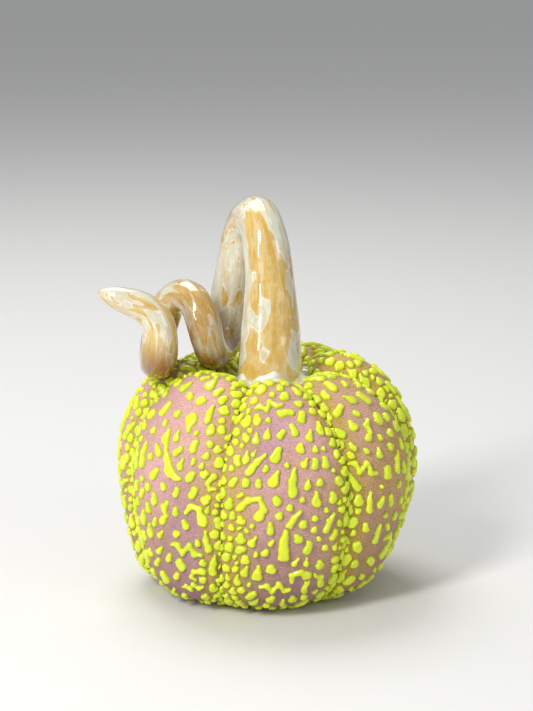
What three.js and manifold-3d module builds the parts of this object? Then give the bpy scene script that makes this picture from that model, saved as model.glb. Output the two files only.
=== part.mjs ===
// Hand-built ceramic pumpkin: a hollow lobed body and one clay rope stem with a curled tendril.
// Millimetres, +Z up, origin at the centre of the flat foot, front toward -Y.
import * as THREE from 'three';
import Module from 'manifold-3d';

// ---- driving dimensions ----
const WALL = 6;                 // thickness of the clay
const GAP = 0.3;                // clearance left between the stem and the body
const VENT_RADIUS = 2;          // firing vent through the foot
const VENT_Y = 11;
const WAIST_HEIGHT = 45;        // height of the widest part of the body
const LEAN = 3;                 // how far the waist sits to +X of the foot
const RIB_DEPTH = 2.6;          // how far the lobes fall back at the grooves
const CREASE_DEPTH = 0.5;       // extra depth right along each groove
const CREASE_WIDTH = 1.2;

// Outline of the body from the foot centre to the crown centre, as [radius, height].
const BODY_PROFILE = [
  [0, 0], [10, 0], [20, 0], [30, 0.8], [39, 3.8], [45, 9.8], [49, 20], [51.9, 32], [53.2, 44],
  [52.9, 53], [50.9, 61.5], [46.8, 69.5], [41, 76], [34.5, 80.3], [27.5, 82], [20.5, 80.6],
  [14.5, 77.6], [7, 75.8], [0, 75.5],
];

// One entry per lobe, counted from the far left: the angle in degrees of the groove before it,
// how far that groove swings at the crown and at the foot, and how high and proud the lobe is.
const LOBES = [
  { groove: -72, crown: 0, foot: 0, lift: 1.0, bulge: 0 },
  { groove: -18.5, crown: 9, foot: -3, lift: 0, bulge: 0 },
  { groove: 34, crown: -4, foot: 4, lift: -0.7, bulge: 0 },
  { groove: 80, crown: 0, foot: 0, lift: 3.2, bulge: 0.8 },
  { groove: 122, crown: 0, foot: 0, lift: 2.4, bulge: 0 },
  { groove: 164, crown: 0, foot: 0, lift: 1.0, bulge: 0 },
  { groove: 206, crown: 0, foot: 0, lift: 0, bulge: 0 },
  { groove: 248, crown: 0, foot: 0, lift: 0.6, bulge: 0.5 },
];

// Centreline of the rope from inside the crown to the tip of the tendril, as [x, y, z, radius].
const ROPE = [
  // front leg, rising from the crown
  [4, -9, 72, 12], [4, -9, 84, 11.7], [4, -9, 98, 10.4], [4, -8, 112, 9],
  // over the tall arch
  [3, -8.5, 124, 8.2], [1.5, -5.5, 133, 7.8], [-1, 2.5, 136.5, 7.8], [-4, 10.5, 133, 7.8], [-6.5, 13.5, 124, 7.8],
  // down the back leg and forward again along the crown
  [-9, 13.5, 112, 7.6], [-12, 14.5, 99, 7.3], [-13, 11.5, 89.5, 6.8], [-15, 4.5, 85.5, 6.3], [-17, -3.5, 87, 6],
  // first curl
  [-18.5, -8.5, 93, 5.9], [-20, -9, 101, 6], [-22.5, -6, 107, 6], [-28, 1.5, 108.5, 5.9],
  [-33.5, 7.5, 103, 5.9], [-36, 9, 95, 6.1],
  // second curl and the tendril's free end
  [-37, 5.5, 88, 6.3], [-37, -3, 84.5, 6.5], [-36, -12, 85.5, 6.7], [-35, -18, 92, 6.7], [-34.5, -18, 100, 6],
  [-38, -18, 106, 5.6], [-44, -18, 108.5, 5.2], [-50, -18.5, 110.5, 4.2], [-54, -18.5, 112, 2.5],
  [-56, -18.5, 112.5, 1],
];

// How finely each surface is cut into rings and steps around.
const BODY_RINGS = 30;
const BODY_STEPS_PER_LOBE = 12;
const CAVITY_RINGS = 14;
const CAVITY_STEPS_PER_LOBE = 5;
const ROPE_STEPS_PER_POINT = 3;
const ROPE_SIDES = 16;

const BODY_COLOUR = 0xc9979a;
const STEM_COLOUR = 0xd9ab5a;

const wasm = await Module();
wasm.setup();
const { Manifold, Mesh } = wasm;

function clamp01(value) {
  return Math.min(Math.max(value, 0), 1);
}

// A smooth curve through the profile points; t runs from 0 at the foot to 1 at the crown.
const profileCurve = new THREE.CatmullRomCurve3(
  BODY_PROFILE.map(([radius, height]) => new THREE.Vector3(radius, height, 0)),
);

function profileAt(t) {
  const point = profileCurve.getPointAt(t);
  const tangent = profileCurve.getTangentAt(t);
  return { radius: point.x, height: point.y, normal: [tangent.y, -tangent.x] };
}

function grooveAngle(index, height) {
  const lobe = LOBES[index % LOBES.length];
  const turn = index < LOBES.length ? 0 : 360;
  const crownShare = clamp01((height - WAIST_HEIGHT) / 40) ** 2;
  const footShare = clamp01((WAIST_HEIGHT - height) / WAIST_HEIGHT) ** 2;
  return lobe.groove + turn + crownShare * lobe.crown + footShare * lobe.foot;
}

// A point of the body's surface on lobe `index`, `across` running from -1 to 1 between its two
// grooves. `grow` moves the surface outward, or inward when negative.
function bodyPoint(index, across, profile, grow) {
  const { radius, height, normal } = profile;
  const before = grooveAngle(index, height);
  const after = grooveAngle(index + 1, height);
  const degrees = (before + after) / 2 + (across * (after - before)) / 2;
  const angle = THREE.MathUtils.degToRad(degrees);
  const toGroove = THREE.MathUtils.degToRad(((after - before) / 2) * (1 - Math.abs(across))) * radius;

  const upper = THREE.MathUtils.smoothstep(height, 40, 85);
  const offAxis = clamp01(radius / 30) ** 1.5;
  const offFoot = clamp01(height / 4);
  const rib = RIB_DEPTH * (1 + 0.35 * upper) * Math.abs(across) ** 2.6;
  const crease = CREASE_DEPTH * Math.exp(-((toGroove / CREASE_WIDTH) ** 2));
  const sink = (rib + crease) * offAxis;
  const full = 1 - Math.abs(across) ** 3;

  const { lift, bulge } = LOBES[index];
  const r = radius + (grow - sink) * normal[0] + bulge * full * offFoot;
  const z = height + (grow - sink * offFoot) * normal[1] + lift * full * upper;
  const lean = LEAN * (1 - ((height - WAIST_HEIGHT) / WAIST_HEIGHT) ** 2) * clamp01(radius / 20);
  return [lean + r * Math.sin(angle), -r * Math.cos(angle), z];
}

// A closed solid from rings of points, closed at each end by fans to a single end point.
function solidFromRings(start, rings, end) {
  const sides = rings[0].length;
  const points = [start, ...rings.flat(), end];
  const last = points.length - 1;
  const triangles = [];
  for (let k = 0; k < sides; k += 1) {
    const next = (k + 1) % sides;
    triangles.push(0, 1 + next, 1 + k);
    for (let ring = 0; ring < rings.length - 1; ring += 1) {
      const low = 1 + ring * sides;
      const high = low + sides;
      triangles.push(low + k, low + next, high + next);
      triangles.push(low + k, high + next, high + k);
    }
    triangles.push(last - sides + k, last - sides + next, last);
  }
  const mesh = new Mesh({
    numProp: 3,
    vertProperties: new Float32Array(points.flat()),
    triVerts: new Uint32Array(triangles),
  });
  return new Manifold(mesh);
}

function lobedSolid(grow, ringCount, stepsPerLobe) {
  const rings = [];
  for (let ring = 1; ring < ringCount; ring += 1) {
    const profile = profileAt(ring / ringCount);
    const points = [];
    for (let lobe = 0; lobe < LOBES.length; lobe += 1) {
      for (let step = 0; step < stepsPerLobe; step += 1) {
        points.push(bodyPoint(lobe, (2 * step) / stepsPerLobe - 1, profile, grow));
      }
    }
    rings.push(points);
  }
  const crownHeight = BODY_PROFILE[BODY_PROFILE.length - 1][1];
  return solidFromRings([0, 0, -grow], rings, [0, 0, crownHeight + grow]);
}

function hollowBody() {
  const outside = lobedSolid(0, BODY_RINGS, BODY_STEPS_PER_LOBE);
  const cavity = lobedSolid(-WALL, CAVITY_RINGS, CAVITY_STEPS_PER_LOBE);
  const vent = Manifold.cylinder(WALL + 4, VENT_RADIUS, VENT_RADIUS, 24).translate(0, VENT_Y, -2);
  return outside.subtract(cavity).subtract(vent);
}

// Uniform cubic B-spline along the rope's points: smooth enough for a soft rope of clay.
function ropeAt(position) {
  const span = Math.min(Math.floor(position), ROPE.length - 2);
  const u = position - span;
  const weights = [
    (1 - u) ** 3 / 6,
    (3 * u ** 3 - 6 * u ** 2 + 4) / 6,
    (-3 * u ** 3 + 3 * u ** 2 + 3 * u + 1) / 6,
    u ** 3 / 6,
  ];
  const values = [0, 0, 0, 0];
  weights.forEach((weight, k) => {
    const near = THREE.MathUtils.clamp(span - 1 + k, 0, ROPE.length - 1);
    ROPE[near].forEach((value, axis) => {
      values[axis] += weight * value;
    });
  });
  return { centre: new THREE.Vector3(values[0], values[1], values[2]), radius: values[3] };
}

function ropeSolid() {
  const count = (ROPE.length - 1) * ROPE_STEPS_PER_POINT;
  const stations = [];
  for (let k = 0; k <= count; k += 1) {
    stations.push(ropeAt(k / ROPE_STEPS_PER_POINT));
  }
  let across = new THREE.Vector3(0, -1, 0);
  const rings = stations.map(({ centre, radius }, k) => {
    const ahead = stations[Math.min(k + 1, count)].centre;
    const behind = stations[Math.max(k - 1, 0)].centre;
    const along = ahead.clone().sub(behind).normalize();
    across = across.clone().addScaledVector(along, -across.dot(along)).normalize();
    const side = along.clone().cross(across);
    const ring = [];
    for (let step = 0; step < ROPE_SIDES; step += 1) {
      const turn = (2 * Math.PI * step) / ROPE_SIDES;
      const point = centre.clone();
      point.addScaledVector(across, radius * Math.cos(turn));
      point.addScaledVector(side, radius * Math.sin(turn));
      ring.push(point.toArray());
    }
    return ring;
  });
  const tip = stations[count].centre.clone();
  tip.add(tip.clone().sub(stations[count - 1].centre).setLength(stations[count].radius));
  return solidFromRings(stations[0].centre.toArray(), rings, tip.toArray());
}

function stemCoil() {
  const keepOut = lobedSolid(GAP, BODY_RINGS, BODY_STEPS_PER_LOBE);
  return ropeSolid().subtract(keepOut);
}

function meshFrom(solid, name, colour, roughness) {
  const { vertProperties, triVerts } = solid.getMesh();
  const geometry = new THREE.BufferGeometry();
  geometry.setAttribute('position', new THREE.BufferAttribute(new Float32Array(vertProperties), 3));
  geometry.setIndex(new THREE.BufferAttribute(new Uint32Array(triVerts), 1));
  geometry.computeVertexNormals();
  const material = new THREE.MeshStandardMaterial({ color: colour, roughness, metalness: 0 });
  const mesh = new THREE.Mesh(geometry, material);
  mesh.name = name;
  return mesh;
}

const pumpkin = new THREE.Group();
pumpkin.add(meshFrom(hollowBody(), 'pumpkin_body', BODY_COLOUR, 0.8));
pumpkin.add(meshFrom(stemCoil(), 'stem_coil', STEM_COLOUR, 0.2));

export default pumpkin;
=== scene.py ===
# Hand-built ceramic pumpkin: bisque body, raised glaze beads, glossy rope stem. Metres.
import math
import random

import bpy
import numpy as np
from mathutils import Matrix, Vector


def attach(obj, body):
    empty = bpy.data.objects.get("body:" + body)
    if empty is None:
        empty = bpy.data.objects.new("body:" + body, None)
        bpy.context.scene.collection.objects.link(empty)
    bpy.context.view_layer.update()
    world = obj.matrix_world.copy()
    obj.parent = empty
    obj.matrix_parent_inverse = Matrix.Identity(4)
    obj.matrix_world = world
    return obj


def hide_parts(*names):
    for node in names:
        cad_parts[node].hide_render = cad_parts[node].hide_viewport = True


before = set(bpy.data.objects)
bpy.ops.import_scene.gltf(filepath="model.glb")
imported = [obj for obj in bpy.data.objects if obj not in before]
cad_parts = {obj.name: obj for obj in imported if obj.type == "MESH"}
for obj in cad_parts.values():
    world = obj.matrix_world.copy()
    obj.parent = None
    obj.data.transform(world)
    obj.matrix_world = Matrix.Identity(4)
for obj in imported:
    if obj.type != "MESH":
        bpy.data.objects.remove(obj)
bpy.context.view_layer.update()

MM = 0.001

# ---- the body's shape, the same as the CAD's: millimetres until a mesh is made ----
WAIST_HEIGHT = 45
LEAN = 3
RIB_DEPTH = 2.6
CREASE_DEPTH = 0.5
CREASE_WIDTH = 1.2
BODY_PROFILE = [
    (0, 0), (10, 0), (20, 0), (30, 0.8), (39, 3.8), (45, 9.8), (49, 20), (51.9, 32), (53.2, 44),
    (52.9, 53), (50.9, 61.5), (46.8, 69.5), (41, 76), (34.5, 80.3), (27.5, 82), (20.5, 80.6),
    (14.5, 77.6), (7, 75.8), (0, 75.5),
]
# One row per lobe: groove angle before it, its swing at crown and foot, lift, bulge.
LOBES = np.array([
    (-72, 0, 0, 1.0, 0),
    (-18.5, 9, -3, 0, 0),
    (34, -4, 4, -0.7, 0),
    (80, 0, 0, 3.2, 0.8),
    (122, 0, 0, 2.4, 0),
    (164, 0, 0, 1.0, 0),
    (206, 0, 0, 0, 0),
    (248, 0, 0, 0.6, 0.5),
])
LOBE_COUNT = len(LOBES)

# Centreline of the rope, as x, y, z, radius.
ROPE = np.array([
    # front leg, rising from the crown
    (4, -9, 72, 12), (4, -9, 84, 11.7), (4, -9, 98, 10.4), (4, -8, 112, 9),
    # over the tall arch
    (3, -8.5, 124, 8.2), (1.5, -5.5, 133, 7.8), (-1, 2.5, 136.5, 7.8), (-4, 10.5, 133, 7.8),
    (-6.5, 13.5, 124, 7.8),
    # down the back leg and forward again along the crown
    (-9, 13.5, 112, 7.6), (-12, 14.5, 99, 7.3), (-13, 11.5, 89.5, 6.8), (-15, 4.5, 85.5, 6.3),
    (-17, -3.5, 87, 6),
    # first curl
    (-18.5, -8.5, 93, 5.9), (-20, -9, 101, 6), (-22.5, -6, 107, 6), (-28, 1.5, 108.5, 5.9),
    (-33.5, 7.5, 103, 5.9), (-36, 9, 95, 6.1),
    # second curl and the tendril's free end
    (-37, 5.5, 88, 6.3), (-37, -3, 84.5, 6.5), (-36, -12, 85.5, 6.7), (-35, -18, 92, 6.7),
    (-34.5, -18, 100, 6), (-38, -18, 106, 5.6), (-44, -18, 108.5, 5.2), (-50, -18.5, 110.5, 4.2),
    (-54, -18.5, 112, 2.5), (-56, -18.5, 112.5, 1),
])
STEM_AXIS = ROPE[0, :2]         # where the front leg stands


# ---- numbers and noise ----
def smoothstep(value, low, high):
    """0 below low, 1 above high, and an even S between."""
    u = np.clip((value - low) / (high - low), 0, 1)
    return u * u * (3 - 2 * u)


def catmull_rom(points, count):
    """Evenly spaced points and normals along a smooth curve through the given points."""
    points = np.array(points, float)
    first = 2 * points[0] - points[1]
    last = 2 * points[-1] - points[-2]
    padded = np.vstack([first, points, last])
    dense = []
    for k in range(len(points) - 1):
        p0, p1, p2, p3 = padded[k:k + 4]
        knots = np.cumsum([0] + [np.linalg.norm(b - a) ** 0.5 for a, b in ((p0, p1), (p1, p2), (p2, p3))])
        for u in np.linspace(0, 1, 40, endpoint=False):
            t = knots[1] + u * (knots[2] - knots[1])
            a1 = p0 + (p1 - p0) * (t - knots[0]) / (knots[1] - knots[0])
            a2 = p1 + (p2 - p1) * (t - knots[1]) / (knots[2] - knots[1])
            a3 = p2 + (p3 - p2) * (t - knots[2]) / (knots[3] - knots[2])
            b1 = a1 + (a2 - a1) * (t - knots[0]) / (knots[2] - knots[0])
            b2 = a2 + (a3 - a2) * (t - knots[1]) / (knots[3] - knots[1])
            dense.append(b1 + (b2 - b1) * (t - knots[1]) / (knots[2] - knots[1]))
    dense.append(points[-1])
    dense = np.array(dense)
    length = np.concatenate([[0], np.cumsum(np.linalg.norm(np.diff(dense, axis=0), axis=1))])
    even = np.linspace(0, length[-1], count)
    curve = np.stack([np.interp(even, length, dense[:, k]) for k in range(2)], -1)
    tangent = np.gradient(curve, even, axis=0)
    tangent /= np.linalg.norm(tangent, axis=1)[:, None]
    return curve, np.stack([tangent[:, 1], -tangent[:, 0]], -1), length[-1]


PROFILE, PROFILE_NORMAL, PROFILE_LENGTH = catmull_rom(BODY_PROFILE, 800)
PROFILE_T = np.linspace(0, 1, len(PROFILE))


def profile_at(t):
    """Radius, height and the two parts of the outward normal at t, 0 at the foot and 1 at the crown."""
    columns = (PROFILE[:, 0], PROFILE[:, 1], PROFILE_NORMAL[:, 0], PROFILE_NORMAL[:, 1])
    return [np.interp(t, PROFILE_T, column) for column in columns]


def noise(points, scale, seed):
    """Smooth value noise from -1 to 1 at 3-D points, one octave."""
    lattice = np.random.default_rng(seed).uniform(-1, 1, (32, 32, 32))
    q = np.asarray(points) / scale + 1000.0
    cell = np.floor(q).astype(int)
    f = q - cell
    f = f * f * (3 - 2 * f)
    total = 0
    for dx in (0, 1):
        for dy in (0, 1):
            for dz in (0, 1):
                weight = np.prod(np.abs((1 - dx, 1 - dy, 1 - dz) - f), axis=-1)
                corner = (cell + (dx, dy, dz)) % 32
                total = total + weight * lattice[corner[..., 0], corner[..., 1], corner[..., 2]]
    return total


# ---- the body's surface ----
def groove_angles(index, height):
    """Angles in degrees of the grooves before and after lobe `index` at that height."""
    crown = np.clip((height - WAIST_HEIGHT) / 40, 0, 1) ** 2
    foot = np.clip((WAIST_HEIGHT - height) / WAIST_HEIGHT, 0, 1) ** 2
    angles = []
    for k in (index, index + 1):
        groove, crown_swing, foot_swing = LOBES[k % LOBE_COUNT][:3]
        turn = 360 if k >= LOBE_COUNT else 0
        angles.append(groove + turn + crown * crown_swing + foot * foot_swing)
    return angles


def body_points(index, across, t, grow=0.0):
    """Points in mm on lobe `index`; across runs -1 to 1 between its grooves, t from foot to crown."""
    across = np.asarray(across, float)
    radius, height, normal_r, normal_z = profile_at(np.asarray(t, float))
    before, after = groove_angles(index, height)
    angle = np.radians((before + after) / 2 + across * (after - before) / 2)
    size = np.minimum(np.abs(across), 1)
    to_groove = np.radians((after - before) / 2 * (1 - size)) * radius
    upper = smoothstep(height, 40, 85)
    off_axis = np.clip(radius / 30, 0, 1) ** 1.5
    off_foot = np.clip(height / 4, 0, 1)
    rib = RIB_DEPTH * (1 + 0.35 * upper) * size ** 2.6
    crease = CREASE_DEPTH * np.exp(-(to_groove / CREASE_WIDTH) ** 2)
    sink = (rib + crease) * off_axis
    full = 1 - size ** 3
    lift, bulge = LOBES[index][3:]
    r = radius + (grow - sink) * normal_r + bulge * full * off_foot
    z = height + (grow - sink * off_foot) * normal_z + lift * full * upper
    lean = LEAN * (1 - ((height - WAIST_HEIGHT) / WAIST_HEIGHT) ** 2) * np.clip(radius / 20, 0, 1)
    return np.stack([lean + r * np.sin(angle), -r * np.cos(angle), z], -1)


def rope_points(count):
    """Centreline points and radii in mm along the rope's smooth curve."""
    position = np.linspace(0, len(ROPE) - 1, count)
    span = np.minimum(position.astype(int), len(ROPE) - 2)
    u = (position - span)[:, None]
    weights = (
        (1 - u) ** 3 / 6,
        (3 * u ** 3 - 6 * u ** 2 + 4) / 6,
        (-3 * u ** 3 + 3 * u ** 2 + 3 * u + 1) / 6,
        u ** 3 / 6,
    )
    values = sum(w * ROPE[np.clip(span - 1 + k, 0, len(ROPE) - 1)] for k, w in enumerate(weights))
    return values[:, :3], values[:, 3]


# ---- meshes ----
def new_piece(name, points_mm, faces, material):
    """A smooth-shaded mesh from points in mm."""
    mesh = bpy.data.meshes.new(name)
    mesh.from_pydata((np.asarray(points_mm) * MM).tolist(), [], faces)
    mesh.polygons.foreach_set("use_smooth", [True] * len(mesh.polygons))
    mesh.update()
    mesh.materials.append(material)
    piece = bpy.data.objects.new(name, mesh)
    bpy.context.collection.objects.link(piece)
    return piece


def paint(piece, name, colours):
    """Stores one linear colour per vertex under that attribute name."""
    colours = np.asarray(colours, float)
    if colours.ndim == 1:
        colours = np.repeat(colours[:, None], 3, axis=1)
    full = np.ones((len(colours), 4))
    full[:, :3] = colours
    layer = piece.data.color_attributes.new(name, "FLOAT_COLOR", "POINT")
    layer.data.foreach_set("color", full.ravel())


def ring_faces(ring_count, sides):
    """Quads between rings of `sides` points each."""
    faces = []
    for ring in range(ring_count - 1):
        for k in range(sides):
            after = (k + 1) % sides
            low = ring * sides
            high = low + sides
            faces.append((low + k, low + after, high + after, high + k))
    return faces


def clay_unevenness(points):
    """Soft hand-built waviness in mm along the surface normal."""
    return 0.28 * noise(points, 17, 11) + 0.12 * noise(points, 7, 12)


# How far the crowded band reaches in from the groove before and the groove after each lobe, in mm.
CROWDED_BANDS = np.array([(8, 10), (15, 8), (8, 9), (10, 10), (9, 11), (10, 9), (11, 10), (10, 9)])


def crowding(index, across, t):
    """0 in the open middle of a lobe, 1 beside grooves and toward crown and foot."""
    before, after = groove_angles(index, profile_at(t)[1])
    half_mm = np.radians((after - before) / 2) * np.maximum(profile_at(t)[0], 1)
    edge_mm = (1 - np.abs(across)) * half_mm
    reach = np.where(np.asarray(across) < 0, *CROWDED_BANDS[index])
    beside = 1 - smoothstep(edge_mm / reach, 0.35, 1.0)
    ends = np.maximum(0.45 * (1 - smoothstep(t, 0.16, 0.30)), smoothstep(t, 0.74, 0.86))
    return np.maximum(beside, 0.85 * ends)


BODY_RINGS = 170
STEPS_PER_LOBE = 34
BISQUE_PINK = np.array([0.66, 0.375, 0.36])
BISQUE_MAUVE = np.array([0.43, 0.24, 0.285])
BISQUE_TAN = np.array([0.53, 0.35, 0.09])
CRACK_BROWN = np.array([0.10, 0.065, 0.05])
MILK_WHITE = np.array([0.72, 0.74, 0.68])
CRACK_WIDTH = 0.4               # of the dark line down each groove, in mm


def clay_wash(index, across, here, p):
    """Colours of one lobe's ring of clay at points p, with painted shade toward the foot, and how much
    white glaze covers each.
    """
    before, after = groove_angles(index, profile_at(here)[1])
    edge_mm = (1 - np.abs(across)) * np.radians((after - before) / 2) * profile_at(here)[0]
    browner_side = 0.42 * smoothstep(p[:, 0], 10, 40)
    haze = 0.12 + 0.62 * crowding(index, across, here) + 0.25 * noise(p, 12, 21) + browner_side
    haze = np.clip(haze, 0, 1)[:, None]
    blush = 0.95 - 0.75 * smoothstep(p[:, 2], 18, 62) + 0.6 * noise(p, 22, 22)
    blush = np.clip(blush, 0, 1)[:, None]
    base = BISQUE_PINK * (1 - blush) + BISQUE_MAUVE * blush
    base = base * (1 - haze) + BISQUE_TAN * haze
    # Painted shade: the clay darkens toward the foot.
    base = base * (0.82 + 0.18 * smoothstep(p[:, 2], 6, 34))[:, None]
    open_crack = smoothstep(noise(p, 6, 24), -0.1, 0.4)
    crack = (np.exp(-(edge_mm / CRACK_WIDTH) ** 2) * open_crack * 0.85)[:, None]
    base = base * (1 - crack) + CRACK_BROWN * crack
    crown_distance = np.hypot(p[:, 0] - 3, p[:, 1] + 3)
    milk = (1 - smoothstep(crown_distance + 2.5 * noise(p, 5, 23), 13, 20)) * (here > 0.5)
    return base * (1 - milk[:, None]) + MILK_WHITE * milk[:, None], milk


def body_piece(material):
    """The lobed body, with its colour washes and painted shade stored on the vertices."""
    steps = np.linspace(-1, 1, STEPS_PER_LOBE, endpoint=False)
    across = np.sign(steps) * (1 - (1 - np.abs(steps)) ** 1.6)
    points = []
    colours = []
    sheen = []
    for t in np.linspace(0.004, 0.996, BODY_RINGS):
        here = np.full(STEPS_PER_LOBE, t)
        off_foot = np.clip(profile_at(here)[1] / 3, 0, 1)
        for index in range(LOBE_COUNT):
            grow = clay_unevenness(body_points(index, across, here)) * off_foot
            p = body_points(index, across, here, grow)
            colour, milk = clay_wash(index, across, here, p)
            points.append(p)
            colours.append(colour)
            sheen.append(milk)
    sides = STEPS_PER_LOBE * LOBE_COUNT
    points = np.concatenate(points)
    faces = ring_faces(BODY_RINGS, sides)
    last = len(points)
    points = np.vstack([points, [(0, 0, 0)], [(0, 0, BODY_PROFILE[-1][1])]])
    for k in range(sides):
        after = (k + 1) % sides
        faces.append((last, after, k))
        faces.append((last + 1, last - sides + k, last - sides + after))
    piece = new_piece("body_clay", points, faces, material)
    paint(piece, "wash", np.vstack([np.concatenate(colours), [BISQUE_TAN], [MILK_WHITE]]))
    paint(piece, "milk", np.concatenate([np.concatenate(sheen), [0, 1]]))
    return piece


# ---- glaze beads ----
# All in mm, except BEADS_FROM and BEADS_TO, which are t, and THROWS_PER_LOBE, which is a count.
BEAD_HEIGHT = 1.15
BEAD_SHOULDER = 1.0             # how far in from its rim a bead reaches its full height
BEAD_FOOTING = -0.12            # how far a bead's rim sinks into the clay
BEAD_GAP = 0.36                 # bare line kept between two beads that meet
BEAD_GRID_MM = 0.34
STROKE_BLEND = 0.8              # how softly a stroke's parts flow together
STROKE_SWELL = 0.12             # how much a stroke of several parts thickens
BEADS_FROM = 0.135
BEADS_TO = 0.925
THROWS_PER_LOBE = 6500
FOOT_OPENNESS = 0.7             # extra bare clay between beads toward the foot
BARE_RING = 16.5                # no beads this near the stem's axis, in mm


# Least bare clay between beads in the open middle of each lobe, in mm.
OPEN_MARGIN = [1.35, 1.0, 1.75, 1.3, 1.2, 1.2, 1.2, 1.3]
# Strokes that the glaze is trailed in, as nodes (x, y, radius) in mm joined in order.
BEAD_SHAPES = {
    "drop": [(0, -1.4, 1.9), (0.2, 2.1, 0.8)],
    "streak": [(0.2, -3.0, 1.3), (-0.1, 0.4, 1.0), (0.4, 3.4, 0.6)],
    "bean": [(-0.8, -1.7, 1.6), (0.8, 1.7, 1.3)],
    "worm": [(-0.8, -4.0, 1.5), (0.8, -1.2, 0.8), (-0.5, 1.6, 1.3), (0.9, 4.2, 0.8)],
    "hook": [(-3.4, 1.2, 0.8), (-1.2, 2.8, 0.9), (1.3, 1.0, 1.0), (0.8, -3.2, 1.8)],
    "wave": [(-5.2, 0.4, 0.7), (-3.2, 0.9, 0.9), (-1.2, -1.7, 0.8), (1.0, 1.8, 0.8), (3.0, -1.2, 0.9),
             (5.0, -1.0, 0.7)],
    "arch": [(-4.6, -1.2, 1.2), (-1.8, 1.6, 0.9), (1.6, 2.2, 0.7), (2.8, -1.2, 1.0), (1.2, -3.6, 1.5)],
    "trail": [(-1.6, 9.4, 0.8), (-2.6, 6.4, 1.6), (-1.6, 3.2, 0.6), (-0.8, -0.6, 1.4), (0.2, -4.6, 1.9),
              (2.8, -6.6, 1.3), (5.0, -7.2, 0.7)],
}
# The largest strokes on the three front lobes: shape, across, t, degrees turned, size.
PLACED_BEADS = {
    0: [
        ("trail", 0.15, 0.60, 8, 1.0), ("worm", 0.10, 0.48, -10, 1.0), ("hook", 0.65, 0.49, 20, 1.1),
        ("wave", 0.45, 0.40, -5, 1.15), ("drop", 0.35, 0.68, 190, 1.25), ("bean", -0.25, 0.70, 10, 1.0),
        ("streak", 0.58, 0.71, 5, 1.0), ("hook", 0.85, 0.56, 150, 0.75), ("wave", 0.50, 0.30, 15, 0.8),
        ("hook", 0.60, 0.34, 100, 0.8),
    ],
    1: [
        ("arch", -0.48, 0.52, 0, 1.15), ("streak", -0.05, 0.43, 0, 1.55), ("streak", 0.06, 0.57, -5, 1.3),
        ("drop", -0.20, 0.58, -20, 1.1), ("wave", -0.10, 0.32, 0, 1.0), ("wave", -0.30, 0.74, 15, 0.9),
        ("arch", 0.48, 0.33, 40, 1.0), ("hook", 0.25, 0.35, 60, 1.0), ("bean", 0.05, 0.72, -60, 1.0),
        ("streak", 0.08, 0.49, -35, 1.0), ("streak", -0.48, 0.61, -40, 1.2), ("drop", -0.40, 0.36, 0, 1.1),
    ],
    2: [
        ("wave", -0.70, 0.58, -20, 1.1), ("worm", -0.35, 0.66, -20, 0.9), ("bean", -0.70, 0.72, -30, 1.0),
        ("streak", -0.62, 0.50, 0, 1.0), ("streak", -0.35, 0.42, -10, 1.0),
    ],
}


def half_width(index, t):
    """Half the width of a lobe in mm at t."""
    radius, height = profile_at(t)[:2]
    before, after = groove_angles(index, height)
    return np.radians((after - before) / 2) * radius


def chain_distance(x, y, nodes):
    """Signed distance to tapering strokes through the nodes (x, y, radius), softly joined."""
    total = None
    pairs = list(zip(nodes[:-1], nodes[1:])) or [(nodes[0], nodes[0])]
    for (x0, y0, r0), (x1, y1, r1) in pairs:
        length2 = max((x1 - x0) ** 2 + (y1 - y0) ** 2, 1e-6)
        share = np.clip(((x - x0) * (x1 - x0) + (y - y0) * (y1 - y0)) / length2, 0, 1)
        share_r = share * share * (3 - 2 * share)
        away = np.hypot(x - x0 - share * (x1 - x0), y - y0 - share * (y1 - y0))
        here = away - (r0 + share_r * (r1 - r0)) - (STROKE_SWELL if len(nodes) > 2 else 0)
        if total is None:
            total = here
        else:
            h = np.clip(0.5 + 0.5 * (total - here) / STROKE_BLEND, 0, 1)
            total = total * (1 - h) + here * h - STROKE_BLEND * h * (1 - h)
    return total


def stroke(shape, degrees, size):
    """The nodes of a named shape, turned and scaled."""
    turn = math.radians(degrees)
    c, si = math.cos(turn) * size, math.sin(turn) * size
    return [(c * x - si * y, si * x + c * y, size * radius) for x, y, radius in BEAD_SHAPES[shape]]


def random_bead(chooser, crowd, across, scale):
    """Stroke nodes in mm for one bead: rounder where crowded, ovals and short trails in the open."""
    size = scale * chooser.uniform(0.8, 1.15) * (1.46 * crowd + 1.4 * (1 - crowd))
    tilt = chooser.gauss(-9 * across - 6, 22)
    kind = chooser.random() + 0.14 * crowd
    if kind < 0.12:
        return stroke(chooser.choice(["worm", "hook", "wave", "arch"]), chooser.gauss(0, 45), 0.6 * size)
    if kind < 0.26:
        return stroke("streak", tilt, 0.7 * size)
    if kind < 0.44:
        return stroke("drop", tilt, 0.55 * size)
    stretch = size * chooser.uniform(0.1, 1.9 - 0.8 * crowd)
    top = chooser.uniform(0.65, 1.0)
    x = math.sin(math.radians(-tilt)) * stretch / 2
    y = math.cos(math.radians(-tilt)) * stretch / 2
    return [(-x, -y, size), (x, y, size * top)]


def stroke_spots(nodes, x_mm, y_mm):
    """Circles that cover a bead's strokes, for keeping beads apart."""
    spots = [(x_mm + x, y_mm + y, r) for x, y, r in nodes]
    for (x0, y0, r0), (x1, y1, r1) in zip(nodes[:-1], nodes[1:]):
        spots.append((x_mm + (x0 + x1) / 2, y_mm + (y0 + y1) / 2, (r0 + r1) / 2))
    return np.array(spots)


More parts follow.
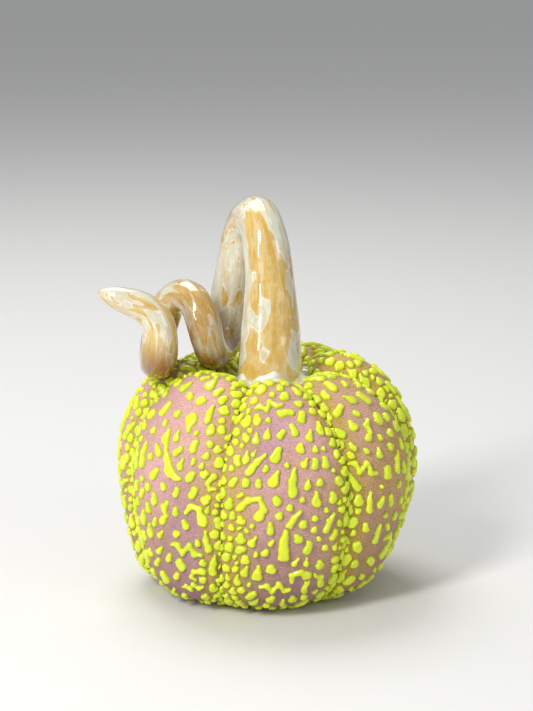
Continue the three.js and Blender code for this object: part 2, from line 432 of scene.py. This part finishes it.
def scatter_beads(index):
    """One lobe's beads as (across, t, nodes): the placed strokes, then random ones where they fit."""
    placed = [(u, v, stroke(shape, turn, size)) for shape, u, v, turn, size in PLACED_BEADS.get(index, [])]
    chooser = random.Random(100 + index)
    dice = np.random.default_rng(200 + index)
    across = dice.uniform(-1.0, 1.0, THROWS_PER_LOBE)
    t = dice.uniform(BEADS_FROM, BEADS_TO, THROWS_PER_LOBE)
    width = half_width(index, t)
    spot = body_points(index, across, t)
    patchy = noise(spot, 10, 31)
    open_margin = OPEN_MARGIN[index] + FOOT_OPENNESS * (1 - smoothstep(t, 0.2, 0.36))
    crowd = np.clip(crowding(index, across, t) + 0.4 * patchy, 0, 1)
    keep = dice.uniform(0, 1, THROWS_PER_LOBE) < width / width.max()
    keep &= np.linalg.norm(spot[:, :2] - STEM_AXIS, axis=1) > BARE_RING
    spots = [stroke_spots(nodes, u * half_width(index, v), v * PROFILE_LENGTH) for u, v, nodes in placed]
    spots = np.vstack(spots) if spots else np.zeros((0, 3))
    for k in np.nonzero(keep)[0]:
        scale = 1.3 - 0.62 * k / THROWS_PER_LOBE
        nodes = random_bead(chooser, crowd[k], across[k], scale)
        mine = stroke_spots(nodes, across[k] * width[k], t[k] * PROFILE_LENGTH)
        pack = 0.83 * crowd[k] + 1.0 * (1 - crowd[k])
        margin = 0.12 * crowd[k] + open_margin[k] * (1 - crowd[k])
        away = np.hypot(mine[:, None, 0] - spots[None, :, 0], mine[:, None, 1] - spots[None, :, 1])
        need = (mine[:, None, 2] + spots[None, :, 2]) * pack + margin
        if (away > need).all():
            spots = np.vstack([spots, mine])
            placed.append((across[k], t[k], nodes))
    return placed


def bead_field(index, beads, columns, rows):
    """Over the lobe's grid: depth inside a bead in mm (positive inside), and the bead's number."""
    nearest = np.full((len(rows), len(columns)), 9.0)
    second = np.full_like(nearest, 9.0)
    owner = np.zeros(nearest.shape, int)
    row_mm = rows * PROFILE_LENGTH
    for number, (across, t, nodes) in enumerate(beads):
        width = float(half_width(index, t))
        reach = max(math.hypot(x, y) + r for x, y, r in nodes) + 1.2
        c0, c1 = np.searchsorted(columns, [across - reach / width, across + reach / width])
        r0, r1 = np.searchsorted(row_mm, [t * PROFILE_LENGTH - reach, t * PROFILE_LENGTH + reach])
        if c0 >= c1 or r0 >= r1:
            continue
        x = (columns[None, c0:c1] - across) * half_width(index, rows[r0:r1])[:, None]
        y = (row_mm[r0:r1] - t * PROFILE_LENGTH)[:, None] + 0 * x
        wobble = 0.2 * np.sin(1.6 * x + 1.3 * number) * np.cos(1.4 * y + 2.1 * number)
        here = chain_distance(x, y, nodes) + wobble
        old = nearest[r0:r1, c0:c1]
        closer = here < old
        second[r0:r1, c0:c1] = np.where(closer, old, np.minimum(second[r0:r1, c0:c1], here))
        nearest[r0:r1, c0:c1] = np.where(closer, here, old)
        owner[r0:r1, c0:c1][closer] = number
    between = BEAD_GAP / 2 - (second - nearest) / 2
    edge_mm = (1 - np.abs(columns))[None, :] * half_width(index, rows)[:, None]
    ragged = 0.55 * np.sin(row_mm * 0.9 + index) * np.sin(row_mm * 0.37 + 2 * index)
    past_edge = (ragged - 0.15)[:, None] - edge_mm
    return -np.maximum(np.maximum(nearest, between), past_edge), owner


# Corners of a grid cell run 0 to 3 around it; 4 to 7 are the crossings on the edges after each.
CELL_SHAPES = {
    1: [(0, 4, 7)], 2: [(1, 5, 4)], 4: [(2, 6, 5)], 8: [(3, 7, 6)],
    3: [(0, 1, 5, 7)], 6: [(1, 2, 6, 4)], 12: [(2, 3, 7, 5)], 9: [(3, 0, 4, 6)],
    5: [(0, 4, 7), (2, 6, 5)], 10: [(1, 5, 4), (3, 7, 6)],
    7: [(0, 1, 2, 6, 7)], 14: [(1, 2, 3, 7, 4)], 13: [(2, 3, 0, 4, 5)], 11: [(3, 0, 1, 5, 6)],
    15: [(0, 1, 2, 3)],
}


def contour_mesh(depth):
    """Marching squares: grid positions of the points, their depth, and the faces inside."""
    height, width = depth.shape
    inside = depth > 0
    corner_id = np.full(depth.shape, -1)
    corner_id[inside] = np.arange(inside.sum())
    rows_in, cols_in = np.nonzero(inside)
    count = len(rows_in)
    positions = [np.stack([rows_in, cols_in], -1).astype(float)]
    depths = [depth[inside]]

    def crossings(a, b, offset, count):
        cut = (a > 0) != (b > 0)
        ids = np.full(a.shape, -1)
        ids[cut] = count + np.arange(cut.sum())
        share = a[cut] / (a[cut] - b[cut])
        r, c = np.nonzero(cut)
        positions.append(np.stack([r + share * offset[0], c + share * offset[1]], -1))
        depths.append(np.full(len(r), -0.001))
        return ids, count + len(r)

    along_id, count = crossings(depth[:, :-1], depth[:, 1:], (0, 1), count)
    up_id, count = crossings(depth[:-1], depth[1:], (1, 0), count)
    code = inside[:-1, :-1] + 2 * inside[:-1, 1:] + 4 * inside[1:, 1:] + 8 * inside[1:, :-1]
    slots = [
        corner_id[:-1, :-1], corner_id[:-1, 1:], corner_id[1:, 1:], corner_id[1:, :-1],
        along_id[:-1], up_id[:, 1:], along_id[1:], up_id[:, :-1],
    ]
    faces = []
    for value, shapes in CELL_SHAPES.items():
        here = code == value
        for shape in shapes:
            faces.extend(np.stack([slots[k][here] for k in shape], -1).tolist())
    return np.vstack(positions), np.concatenate(depths), faces


def bead_piece(index, material):
    """All the glaze beads on one lobe as one mesh of domes that follow its surface."""
    column_count = int(2 * half_width(index, 0.45) / BEAD_GRID_MM)
    row_count = int((BEADS_TO - BEADS_FROM + 0.03) * PROFILE_LENGTH / BEAD_GRID_MM)
    columns = np.linspace(-1.03, 1.03, column_count)
    rows = np.linspace(BEADS_FROM - 0.015, BEADS_TO + 0.015, row_count)
    beads = scatter_beads(index)
    depth, owner = bead_field(index, beads, columns, rows)
    depth[[0, -1], :] = -1
    depth[:, [0, -1]] = -1
    positions, inner, faces = contour_mesh(depth)
    t = np.interp(positions[:, 0], np.arange(row_count), rows)
    across = np.interp(positions[:, 1], np.arange(column_count), columns)
    rise = np.sqrt(np.clip(1 - (1 - np.clip(inner / BEAD_SHOULDER, 0, 1)) ** 2, 0, 1))
    clay = clay_unevenness(body_points(index, across, t)) * np.clip(profile_at(t)[1] / 3, 0, 1)
    base = body_points(index, across, t, clay)
    step = 1e-3
    run_u = body_points(index, across + step, t) - body_points(index, across - step, t)
    run_t = body_points(index, across, t + step) - body_points(index, across, t - step)
    normal = np.cross(run_u, run_t)
    normal /= np.linalg.norm(normal, axis=1)[:, None] + 1e-12
    crest = BEAD_HEIGHT * (0.9 + 0.1 * np.clip(inner, 0, 1))
    height = BEAD_FOOTING + (crest - BEAD_FOOTING) * rise
    piece = new_piece(f"glaze_beads_{index + 1}", base + normal * height[:, None], faces, material)
    nearest_cell = np.round(positions).astype(int)
    number = owner[nearest_cell[:, 0], nearest_cell[:, 1]]
    tone = np.random.default_rng(40 + index).uniform(0, 1, len(beads))[number]
    paint(piece, "dome", np.stack([rise, tone, 0 * tone], -1))
    return piece



# ---- stem ----
ROPE_RINGS = 520
ROPE_SIDES = 56
# How creamy the glaze is along the rope: lengths in mm, and a share from 0 (amber) to 1 (cream).
CREAM_ALONG = (
    [0, 8, 40, 62, 78, 90, 118, 128, 140, 158, 175, 190, 205, 222, 245],
    [0.50, 0.44, 0.44, 0.46, 0.56, 0.59, 0.54, 0.43, 0.46, 0.48, 0.45, 0.40, 0.38, 0.48, 0.58],
)
LOW_BROWN_FROM = 104                # length along the rope after which its lowest parts are darker brown
SHADED_CURL = (150, 13)         # middle and reach, in mm along the rope, of painted shade on the first curl
# Large cream runs: length along the rope, angle around it from the front, and their half sizes.
CREAM_PATCHES = [
    (22, -62, 9, 20, 0.22), (40, -66, 14, 14, 0.24), (56, -60, 8, 16, 0.20), (17, 2, 3.5, 16, 0.26),
    (15, 42, 5, 14, 0.20), (36, 52, 10, 12, 0.18), (58, 30, 6, 16, 0.26), (30, -18, 6, 9, 0.16),
    (30, 15, 16, 20, -0.16), (47, 0, 12, 18, -0.16), (8, 0, 3, 70, -0.14), (10, -40, 3, 20, -0.10),
    (148, -50, 10, 22, 0.16), (212, -60, 12, 22, 0.18), (232, -40, 8, 26, 0.16), (206, 40, 10, 26, 0.10),
]


def rope_tint(along_mm, around, heights):
    """For one ring of the rope: how creamy its glaze is, as red, and how much darker, as green: brown on
    its lowest parts and painted shade on the first curl.
    """
    cream = np.full(ROPE_SIDES, np.interp(along_mm, *CREAM_ALONG))
    for at, angle, reach, spread, strength in CREAM_PATCHES:
        apart = (around - angle + 180) % 360 - 180
        cream += strength * np.exp(-((along_mm - at) / reach) ** 2 - (apart / spread) ** 2)
    low = (1 - smoothstep(heights, 84, 98)) * (along_mm > LOW_BROWN_FROM)
    # Painted shade on the first curl.
    curl = 0.6 * math.exp(-((along_mm - SHADED_CURL[0]) / SHADED_CURL[1]) ** 2)
    return np.stack([cream, np.maximum(low, curl), 0 * cream], -1)


def rope_piece(material):
    """The stem, arch and tendril as one soft clay rope with small hand-rolled unevenness."""
    centres, radii = rope_points(ROPE_RINGS)
    along = np.gradient(centres, axis=0)
    along /= np.linalg.norm(along, axis=1)[:, None]
    length = np.concatenate([[0], np.cumsum(np.linalg.norm(np.diff(centres, axis=0), axis=1))])
    turns = np.linspace(0, 2 * np.pi, ROPE_SIDES, endpoint=False)
    across = np.array([0.0, -1.0, 0.0])
    points = []
    flow = []
    tint = []
    around = (np.degrees(turns) + 180) % 360 - 180
    for k in range(ROPE_RINGS):
        across = across - along[k] * across.dot(along[k])
        across /= np.linalg.norm(across)
        side = np.cross(along[k], across)
        out = np.cos(turns)[:, None] * across + np.sin(turns)[:, None] * side
        on_tube = centres[k] + out * radii[k]
        dents = 0.32 * noise(on_tube, 9, 41) + 0.12 * noise(on_tube, 4, 42)
        points.append(on_tube + out * (dents * min(radii[k] / 5, 1))[:, None])
        flow.append(np.stack([np.cos(turns), np.sin(turns), np.full(ROPE_SIDES, length[k] / 100)], -1))
        tint.append(rope_tint(length[k], around, on_tube[:, 2]))
    faces = ring_faces(ROPE_RINGS, ROPE_SIDES)
    tip = centres[-1] + along[-1] * radii[-1] * 0.9
    points = np.vstack(points + [[tip], [centres[0]]])
    tip_id = len(points) - 2
    for k in range(ROPE_SIDES):
        after = (k + 1) % ROPE_SIDES
        last = (ROPE_RINGS - 1) * ROPE_SIDES
        faces.append((last + k, last + after, tip_id))
        faces.append((after, k, tip_id + 1))
    piece = new_piece("stem_rope", points, faces, material)
    flow = np.vstack([np.concatenate(flow), [(0, 0, length[-1] / 100)], [(0, 0, 0)]])
    layer = piece.data.attributes.new("flow", "FLOAT_VECTOR", "POINT")
    layer.data.foreach_set("vector", flow.astype(float).ravel())
    paint(piece, "tint", np.vstack([np.concatenate(tint), [(0.5, 0, 0)], [(0.5, 0, 0)]]))
    return piece


FOOT_GLAZE_SIDES = 96
STEM_FOOT_RADIUS = 11.7
# Section of the ring of glaze: how far out from the stem, and how high above the clay, in mm.
FOOT_GLAZE_SECTION = [
    (-0.6, 3.4), (0.1, 2.6), (0.5, 1.9), (1.1, 1.3), (1.9, 0.9), (2.8, 0.7), (3.6, 0.3), (4.2, -0.6),
]


def foot_glaze_piece(body, material):
    """The fillet of white glaze where the stem's foot meets the crown."""
    ray_from = Vector((0, 0, 0.2))
    rings = []
    for out_mm, up_mm in FOOT_GLAZE_SECTION:
        ring = []
        for k in range(FOOT_GLAZE_SIDES):
            turn = 2 * math.pi * k / FOOT_GLAZE_SIDES
            wave = 1 + 0.18 * math.sin(3 * turn + 0.6) + 0.10 * math.sin(7 * turn)
            lump = 1 + 0.2 * math.sin(5 * turn + 1) + 0.12 * math.sin(11 * turn)
            reach = STEM_FOOT_RADIUS + out_mm * wave
            x = STEM_AXIS[0] + reach * math.sin(turn)
            y = STEM_AXIS[1] - reach * math.cos(turn)
            ray_from.x, ray_from.y = x * MM, y * MM
            _hit, spot, _normal, _face = body.ray_cast(ray_from, Vector((0, 0, -1)))
            ring.append((x, y, spot.z / MM + up_mm * (lump if up_mm > 0 else 1)))
        rings.append(ring)
    faces = [tuple(reversed(face)) for face in ring_faces(len(FOOT_GLAZE_SECTION), FOOT_GLAZE_SIDES)]
    return new_piece("stem_foot_glaze", np.concatenate(rings), faces, material)


# ---- materials ----
class Shader:
    """A small helper that adds and links the nodes of one material."""

    def __init__(self, name):
        self.material = bpy.data.materials.new(name)
        self.material.use_nodes = True
        self.tree = self.material.node_tree
        self.surface = self.tree.nodes["Principled BSDF"]

    def set(self, **values):
        for name, value in values.items():
            self.surface.inputs[name.replace("_", " ")].default_value = value

    def node(self, kind, **inputs):
        node = self.tree.nodes.new(kind)
        for name, value in inputs.items():
            self.feed(node, name.replace("_", " "), value)
        return node

    def feed(self, node, name, value):
        if isinstance(value, bpy.types.NodeSocket):
            self.tree.links.new(value, node.inputs[name])
        else:
            node.inputs[name].default_value = value

    def attribute(self, name, socket="Color"):
        node = self.tree.nodes.new("ShaderNodeAttribute")
        node.attribute_name = name
        return node.outputs[socket]

    def noise(self, where, scale, detail=2.0, roughness=0.5, distortion=0.0):
        node = self.node("ShaderNodeTexNoise", Scale=scale, Detail=detail, Roughness=roughness)
        self.feed(node, "Distortion", distortion)
        self.feed(node, "Vector", where)
        return node.outputs["Fac"]

    def ramp(self, value, *stops):
        node = self.node("ShaderNodeValToRGB")
        self.feed(node, "Fac", value)
        elements = node.color_ramp.elements
        while len(elements) < len(stops):
            elements.new(0.5)
        for element, (position, colour) in zip(elements, stops):
            element.position = position
            element.color = (*colour, 1)
        return node.outputs["Color"]

    def mix(self, share, a, b, blend="MIX"):
        node = self.tree.nodes.new("ShaderNodeMix")
        node.data_type = "RGBA"
        node.blend_type = blend
        for socket, value in ((0, share), (6, a), (7, b)):
            if isinstance(value, bpy.types.NodeSocket):
                self.tree.links.new(value, node.inputs[socket])
            elif socket == 0:
                node.inputs[socket].default_value = value
            else:
                node.inputs[socket].default_value = (*value, 1)
        return node.outputs[2]

    def math(self, operation, a, b=0.0):
        node = self.tree.nodes.new("ShaderNodeMath")
        node.operation = operation
        self.feed(node, 0, a)
        self.feed(node, 1, b)
        return node.outputs[0]

    def bump(self, height, strength, distance):
        node = self.node("ShaderNodeBump", Strength=strength, Distance=distance, Height=height)
        self.feed(self.surface, "Normal", node.outputs["Normal"])

    def stretched(self, flow, around, along):
        node = self.node("ShaderNodeMapping", Scale=(around, around, along))
        self.feed(node, "Vector", flow)
        return node.outputs["Vector"]

    def position(self):
        return self.node("ShaderNodeTexCoord").outputs["Object"]


def bisque_material():
    """Matt pink clay with washes of tan, a fine weave and brushed speckle."""
    s = Shader("bisque_clay")
    where = s.position()
    fine = s.noise(where, 1500, 3)
    broad = s.noise(where, 260, 3)
    speckle = s.ramp(fine, (0.30, (0.80, 0.79, 0.79)), (0.70, (1.12, 1.12, 1.13)))
    cloud = s.ramp(broad, (0.30, (0.93, 0.92, 0.92)), (0.72, (1.06, 1.06, 1.06)))
    colour = s.mix(1.0, s.attribute("wash"), speckle, "MULTIPLY")
    colour = s.mix(1.0, colour, cloud, "MULTIPLY")
    threads = []
    for direction in ("X", "Y", "Z"):
        thread = s.node("ShaderNodeTexWave", Scale=390.0, Distortion=1.2, Detail=2.0, Detail_Scale=2.0)
        thread.bands_direction = direction
        s.feed(thread, "Vector", where)
        threads.append(thread.outputs["Fac"])
    upright = s.math("MULTIPLY", threads[0], threads[1])
    weave = s.math("MAXIMUM", upright, threads[2])
    lines = s.ramp(weave, (0.1, (0.94, 0.94, 0.94)), (0.8, (1.03, 1.03, 1.03)))
    colour = s.mix(1.0, colour, lines, "MULTIPLY")
    s.feed(s.surface, "Base Color", colour)
    s.set(Roughness=0.78, Specular_IOR_Level=0.3)
    height = s.math("ADD", s.math("MULTIPLY", weave, 0.7), fine)
    s.bump(height, 0.5, 0.00025)
    return s.material


def bead_material():
    """Satin lime-yellow glaze, greener and darker toward each bead's rim."""
    s = Shader("bead_glaze")
    where = s.position()
    split = s.tree.nodes.new("ShaderNodeSeparateColor")
    s.feed(split, "Color", s.attribute("dome"))
    colour = s.ramp(
        split.outputs["Red"],
        (0.0, (0.30, 0.35, 0.012)), (0.35, (0.56, 0.64, 0.014)), (0.85, (0.70, 0.79, 0.022)),
    )
    tone = s.ramp(split.outputs["Green"], (0.0, (0.88, 0.93, 0.9)), (1.0, (1.08, 1.03, 1.0)))
    colour = s.mix(1.0, colour, tone, "MULTIPLY")
    mottle = s.ramp(s.noise(where, 420, 3), (0.3, (0.88, 0.92, 0.85)), (0.7, (1.08, 1.05, 1.1)))
    colour = s.mix(1.0, colour, mottle, "MULTIPLY")
    s.feed(s.surface, "Base Color", colour)
    s.set(Roughness=0.24, Specular_IOR_Level=0.6)
    s.bump(s.noise(where, 900, 2), 0.2, 0.00015)
    return s.material


def stem_material():
    """Glossy amber glaze with creamy runs along the rope, a paler outline to each, and rusty specks."""
    s = Shader("stem_glaze")
    where = s.position()
    flow = s.attribute("flow", "Vector")
    tint = s.node("ShaderNodeSeparateColor")
    s.feed(tint, "Color", s.attribute("tint"))
    runs = s.noise(s.stretched(flow, 0.8, 5.0), 1.6, 2.0, 0.42, 0.9)
    wisp = s.noise(s.stretched(flow, 2.4, 7.0), 2.2, 4.0, 0.6, 0.4)
    silk = s.noise(s.stretched(flow, 2.6, 8.0), 2.2, 3.0, 0.55, 0.8)
    grain = s.noise(where, 900, 2, 0.5)
    body = s.math("ADD", s.math("MULTIPLY", silk, 0.75), s.math("MULTIPLY", grain, 0.25))
    amber = s.ramp(
        body, (0.34, (0.51, 0.30, 0.055)), (0.5, (0.59, 0.375, 0.08)), (0.68, (0.67, 0.475, 0.15)),
    )
    veil = s.ramp(wisp, (0.46, (0, 0, 0)), (0.68, (0.62, 0.62, 0.62)))
    amber = s.mix(veil, amber, (0.70, 0.60, 0.38))
    milk = s.ramp(wisp, (0.36, (0.60, 0.50, 0.33)), (0.50, (0.62, 0.60, 0.47)), (0.66, (0.66, 0.73, 0.60)))
    cover = s.math("ADD", runs, s.math("MULTIPLY", s.math("SUBTRACT", wisp, 0.5), 0.12))
    cover = s.math("ADD", cover, s.math("SUBTRACT", tint.outputs["Red"], 0.5))
    share = s.ramp(cover, (0.455, (0, 0, 0)), (0.60, (0.92, 0.92, 0.92)))
    colour = s.mix(share, amber, milk)
    outline = s.ramp(cover, (0.505, (0, 0, 0)), (0.525, (0.65, 0.65, 0.65)), (0.55, (0, 0, 0)))
    colour = s.mix(outline, colour, (0.86, 0.86, 0.80))
    # Green darkens the glaze: darker brown on the rope's lowest parts, and painted shade on the first
    # curl.
    low_brown_and_curl_shade = s.ramp(
        tint.outputs["Green"], (0.0, (1, 1, 1)), (0.45, (0.74, 0.68, 0.60)), (1.0, (0.46, 0.30, 0.16)),
    )
    colour = s.mix(1.0, colour, low_brown_and_curl_shade, "MULTIPLY")
    specks = s.ramp(s.noise(where, 260, 2), (0.70, (0, 0, 0)), (0.76, (0.45, 0.45, 0.45)))
    colour = s.mix(specks, colour, (0.30, 0.10, 0.035))
    s.feed(s.surface, "Base Color", colour)
    s.set(Roughness=0.14, Specular_IOR_Level=0.6, Coat_Weight=1.0, Coat_Roughness=0.03)
    s.bump(s.math("ADD", cover, s.math("MULTIPLY", silk, 0.12)), 0.3, 0.0005)
    return s.material


def foot_glaze_material():
    """Thick white glaze with a faint mint and amber cast."""
    s = Shader("foot_glaze")
    where = s.position()
    colour = s.ramp(s.noise(where, 120, 3), (0.35, (0.62, 0.52, 0.32)), (0.55, (0.74, 0.77, 0.68)))
    s.feed(s.surface, "Base Color", colour)
    s.set(Roughness=0.18, Specular_IOR_Level=0.6, Coat_Weight=0.8, Coat_Roughness=0.05)
    s.bump(s.noise(where, 300, 2), 0.25, 0.0004)
    return s.material


def floor_material():
    """Plain pale matt floor."""
    s = Shader("studio_floor")
    s.set(Base_Color=(0.70, 0.69, 0.67, 1), Roughness=0.75)
    return s.material


# ---- the studio ----
CAMERA_DISTANCE = 0.800
CAMERA_ELEVATION = math.radians(13)
CAMERA_AIM = Vector((0.0026, 0, 0.0856))
IMAGE_LONG_SIDE = 711
PIXELS_PER_METRE = 2765


def place_camera():
    """A long lens a little above the pumpkin, level with its stem."""
    camera_data = bpy.data.cameras.new("camera")
    camera_data.sensor_fit = "VERTICAL"
    camera_data.sensor_height = 36
    camera_data.lens = 36 * PIXELS_PER_METRE * CAMERA_DISTANCE / IMAGE_LONG_SIDE
    camera_data.clip_start = 0.01
    camera = bpy.data.objects.new("camera", camera_data)
    back = Vector((0, -math.cos(CAMERA_ELEVATION), math.sin(CAMERA_ELEVATION)))
    camera.location = CAMERA_AIM + back * CAMERA_DISTANCE
    camera.rotation_euler = back.to_track_quat("Z", "Y").to_euler()
    bpy.context.collection.objects.link(camera)
    bpy.context.scene.camera = camera


def place_light(name, spot, size, power, colour=(1, 1, 1)):
    data = bpy.data.lights.new(name, "AREA")
    data.shape = "RECTANGLE"
    data.size, data.size_y = size
    data.energy = power
    data.color = colour
    light = bpy.data.objects.new(name, data)
    light.location = spot
    light.rotation_euler = (Vector(spot) - Vector((0, 0, 0.07))).to_track_quat("Z", "Y").to_euler()
    bpy.context.collection.objects.link(light)


def build_studio():
    """A pale floor, a soft even sky, and four area lights."""
    bpy.ops.mesh.primitive_plane_add(size=16, location=(0, 0, 0))
    floor = bpy.context.object
    floor.name = "studio_floor"
    floor.data.materials.append(floor_material())
    world = bpy.context.scene.world or bpy.data.worlds.new("studio")
    bpy.context.scene.world = world
    world.use_nodes = True
    background = world.node_tree.nodes["Background"]
    background.inputs["Color"].default_value = (0.80, 0.82, 0.85, 1)
    background.inputs["Strength"].default_value = 0.5
    place_light("key", (-0.55, -0.75, 0.80), (0.22, 0.40), 9.5)
    place_light("strip", (-0.80, -0.85, 0.34), (0.07, 0.50), 2.4)
    place_light("fill", (0.9, -0.7, 0.5), (0.6, 0.6), 2)
    place_light("top", (-0.2, 0.4, 0.95), (0.6, 0.6), 6)
    bpy.context.scene.view_settings.view_transform = "Standard"


# ---- put it together ----
place_camera()
build_studio()

body = body_piece(bisque_material())
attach(body, "root")
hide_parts("pumpkin_body")

glaze = bead_material()
for lobe_index in range(LOBE_COUNT):
    beads = bead_piece(lobe_index, glaze)
    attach(beads, "root")

stem = rope_piece(stem_material())
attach(stem, "root")
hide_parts("stem_coil")

foot_glaze = foot_glaze_piece(body, foot_glaze_material())
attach(foot_glaze, "root")
